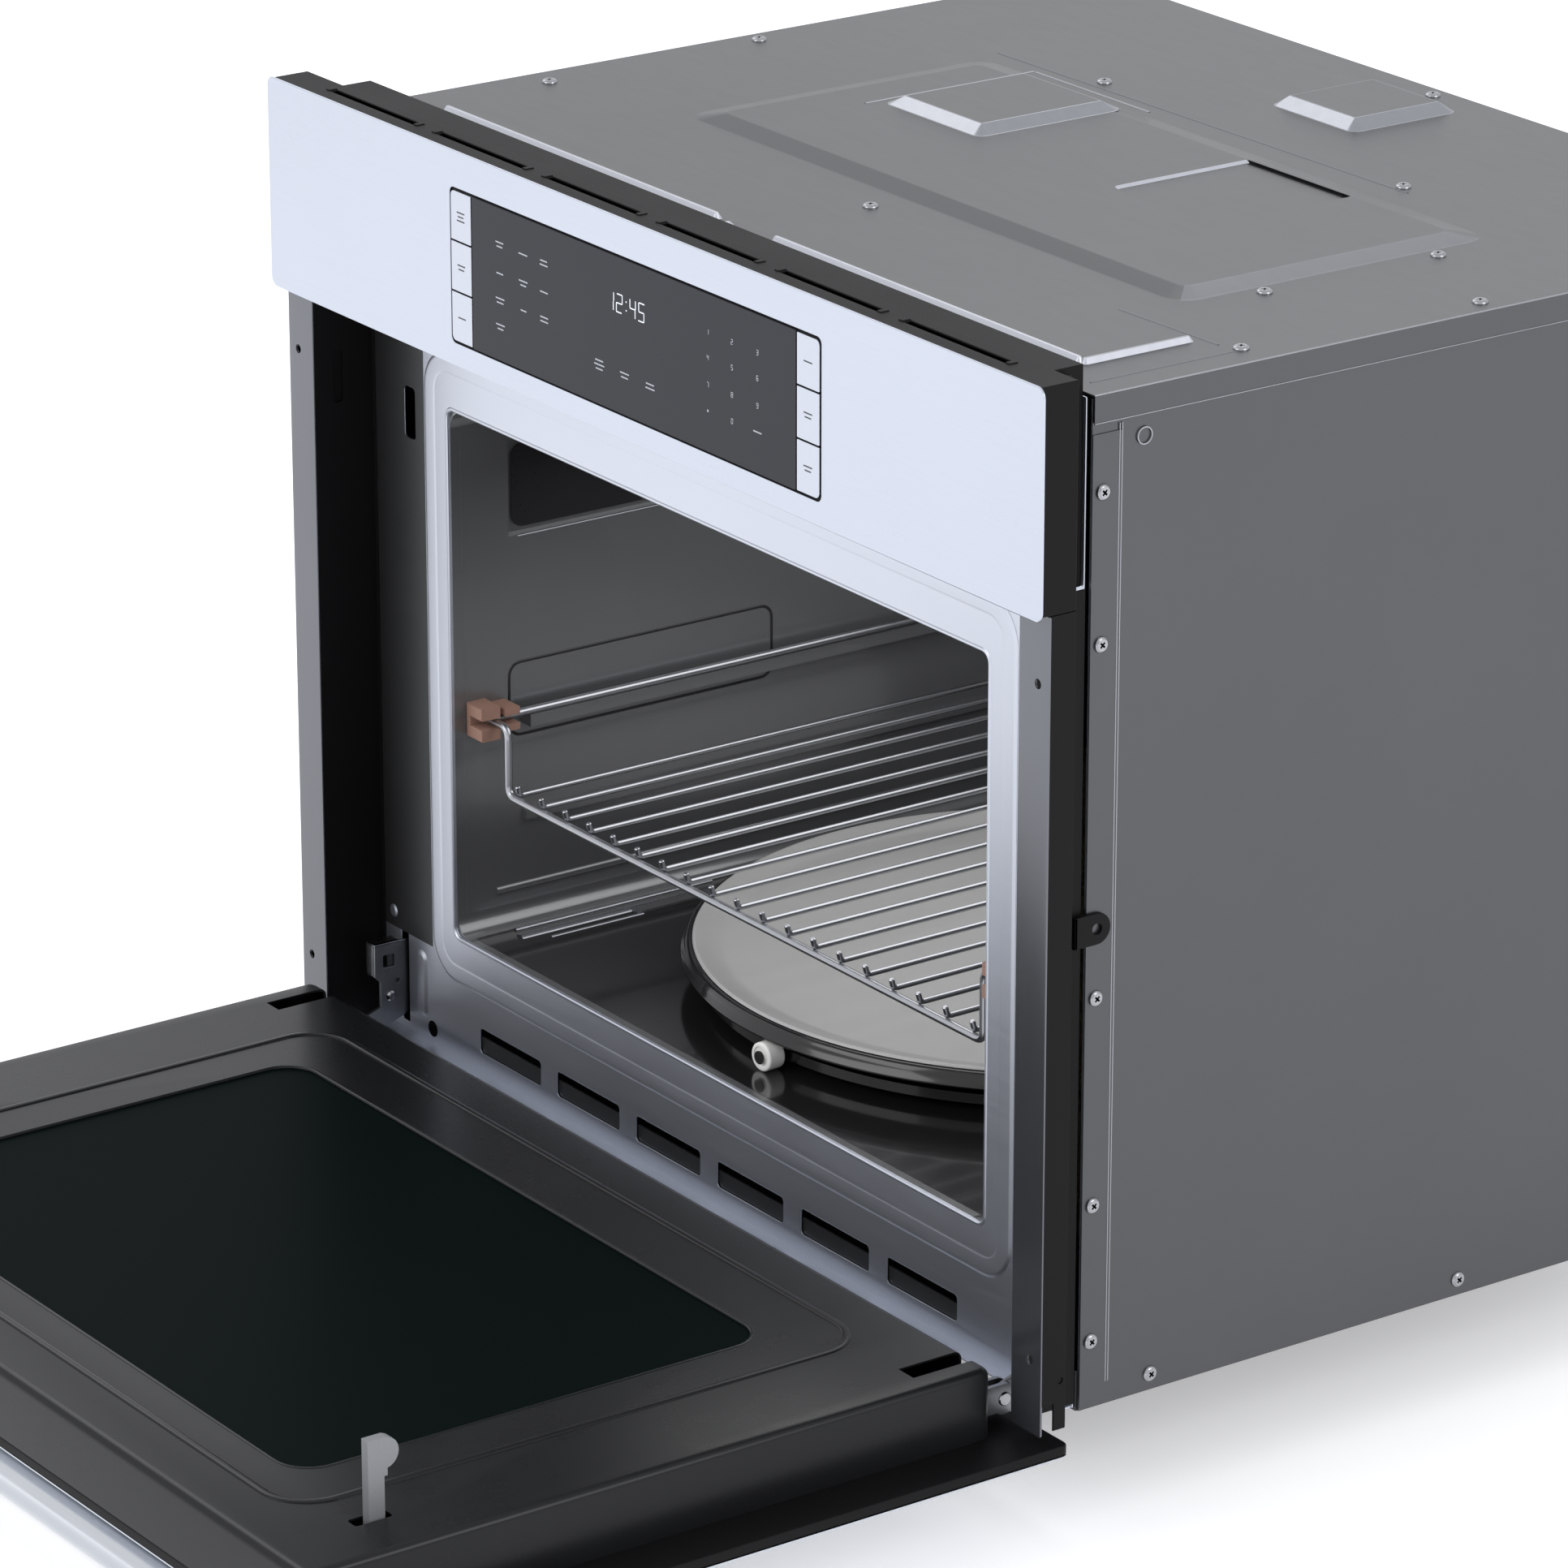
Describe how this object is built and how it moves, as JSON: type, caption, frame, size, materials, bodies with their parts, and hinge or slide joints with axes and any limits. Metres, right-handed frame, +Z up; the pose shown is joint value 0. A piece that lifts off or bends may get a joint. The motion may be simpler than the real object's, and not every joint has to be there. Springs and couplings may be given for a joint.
{
  "type": "wall oven",
  "caption": "Built-in combination wall oven with a control panel on top, a drop-down glass door, a sliding wire rack and a turntable.",
  "frame": {"origin": "centre of the flat underside of the case, where it rests on the cabinet's shelf", "axes": "+X to the right seen from the room, +Y into the wall, +Z up"},
  "size_m": [0.756, 1.0284, 0.6692],
  "materials": {
    "case_steel": "galvanised steel, satin",
    "bright_steel": "bright pressed stainless steel",
    "fascia_steel": "fine horizontal brushed stainless steel",
    "trim_black": "black powder coat, satin",
    "display_black": "smoked glass over a dark mask",
    "key_white": "light touch pads",
    "housing_black": "black moulding",
    "board_green": "circuit board",
    "cavity_grey": "dark grey enamel, glossy",
    "blanket": "glass fibre blanket",
    "zinc": "zinc plated steel",
    "heater": "oxidised heater tube",
    "mica": "mica sheet",
    "winding": "laminated core and windings",
    "white_plastic": "white moulding",
    "dish_black": "black enamel, glossy",
    "ceramic": "pale grey glazed ceramic",
    "lens": "heat-proof glass",
    "insulator": "terracotta coloured insulator",
    "chrome_wire": "chromed wire",
    "liner_black": "black enamel, satin",
    "dark_glass": "dark heat-reflecting glass",
    "screen": "perforated black sheet",
    "handle_steel": "brushed tube",
    "hook_grey": "grey moulded hook"
  },
  "bodies": {
    "case": {"base_pan": "case_steel", "side_panel_left": "case_steel", "side_panel_right": "case_steel", "top_cover": "case_steel", "rear_panel": "case_steel", "face_frame": "bright_steel", "side_trim_left": "trim_black", "side_trim_right": "trim_black", "case_screws": "zinc", "control_fascia": "fascia_steel", "display_glass": "display_black", "touch_keys_left": "key_white", "touch_keys_right": "key_white", "panel_housing": "housing_black", "control_board": "board_green", "cavity_liner": "cavity_grey", "insulation_blanket": "blanket", "component_deck": "zinc", "grill_element": "heater", "waveguide": "zinc", "waveguide_cover": "mica", "magnetron": "zinc", "high_voltage_transformer": "winding", "high_voltage_capacitor": "zinc", "blower_housing": "zinc", "blower_motor": "winding", "fan_compartment": "zinc", "ring_heater": "heater", "convection_motor": "winding", "turntable_motor": "zinc", "lamp_holder": "white_plastic", "lamp_lens": "lens", "rack_insulators": "insulator", "hinge_receivers": "zinc", "hinge_arms": "zinc", "latch_housings": "white_plastic", "terminal_cover": "zinc"},
    "door": {"door_liner": "liner_black", "door_inner_glass": "dark_glass", "microwave_screen": "screen", "door_outer_panel": "trim_black", "door_skin": "fascia_steel", "door_outer_glass": "dark_glass", "hinge_channels": "zinc", "handle_bar": "handle_steel", "handle_posts": "handle_steel"},
    "hook_left": {"latch_hook_left": "hook_grey"},
    "hook_right": {"latch_hook_right": "hook_grey"},
    "rack": {"wire_rack": "chrome_wire"},
    "turntable": {"turntable_coupler": "white_plastic", "metal_dish": "dish_black", "ceramic_tray": "ceramic"},
    "roller_carrier": {"roller_ring": "heater"},
    "roller_a": {"roller_front": "white_plastic"},
    "roller_b": {"roller_right": "white_plastic"},
    "roller_c": {"roller_left": "white_plastic"},
    "fan": {"convection_fan": "zinc"},
    "blower": {"blower_wheel": "white_plastic"}
  },
  "joints": [
    {"name": "door_hinge", "type": "hinge", "parent": "case", "child": "door", "pos_m": [0, -0.3017, 0.0093], "axis": [-1, 0, 0], "range_deg": [0, 90]},
    {"name": "rack_slide", "type": "slide", "parent": "case", "child": "rack", "axis": [0, 1, 0], "range_m": [-0.3, 0]},
    {"name": "turntable_spin", "type": "hinge", "parent": "case", "child": "turntable", "pos_m": [0, -0.019, 0.1], "axis": [0, 0, 1], "continuous": true},
    {"name": "roller_ring_spin", "type": "hinge", "parent": "case", "child": "roller_carrier", "pos_m": [0, -0.019, 0.091], "axis": [0, 0, 1], "continuous": true},
    {"name": "roller_a_spin", "type": "hinge", "parent": "roller_carrier", "child": "roller_a", "pos_m": [0, -0.019, 0.091], "axis": [0.0698, -0.9976, 0], "continuous": true},
    {"name": "roller_b_spin", "type": "hinge", "parent": "roller_carrier", "child": "roller_b", "pos_m": [0, -0.019, 0.091], "axis": [0.829, 0.5592, 0], "continuous": true},
    {"name": "roller_c_spin", "type": "hinge", "parent": "roller_carrier", "child": "roller_c", "pos_m": [0, -0.019, 0.091], "axis": [-0.8988, 0.4384, 0], "continuous": true},
    {"name": "convection_fan_spin", "type": "hinge", "parent": "case", "child": "fan", "pos_m": [0, 0.221, 0.25], "axis": [0, 1, 0], "continuous": true},
    {"name": "cooling_blower_spin", "type": "hinge", "parent": "case", "child": "blower", "pos_m": [-0.15, 0.15, 0.505], "axis": [1, 0, 0], "continuous": true},
    {"name": "latch_hook_left_pivot", "type": "hinge", "parent": "door", "child": "hook_left", "pos_m": [-0.308, -0.6934, 0.022], "axis": [1, 0, 0], "range_deg": [0, 6], "stiffness_Nm_per_rad": 0.6},
    {"name": "latch_hook_right_pivot", "type": "hinge", "parent": "door", "child": "hook_right", "pos_m": [0.308, -0.6934, 0.022], "axis": [1, 0, 0], "range_deg": [0, 6], "stiffness_Nm_per_rad": 0.6}
  ],
  "couplings": [
    {"joint": "roller_ring_spin", "follows": "turntable_spin", "ratio": 0.5},
    {"joint": "roller_a_spin", "follows": "turntable_spin", "ratio": -12.167},
    {"joint": "roller_b_spin", "follows": "turntable_spin", "ratio": -12.167},
    {"joint": "roller_c_spin", "follows": "turntable_spin", "ratio": -12.167}
  ]
}
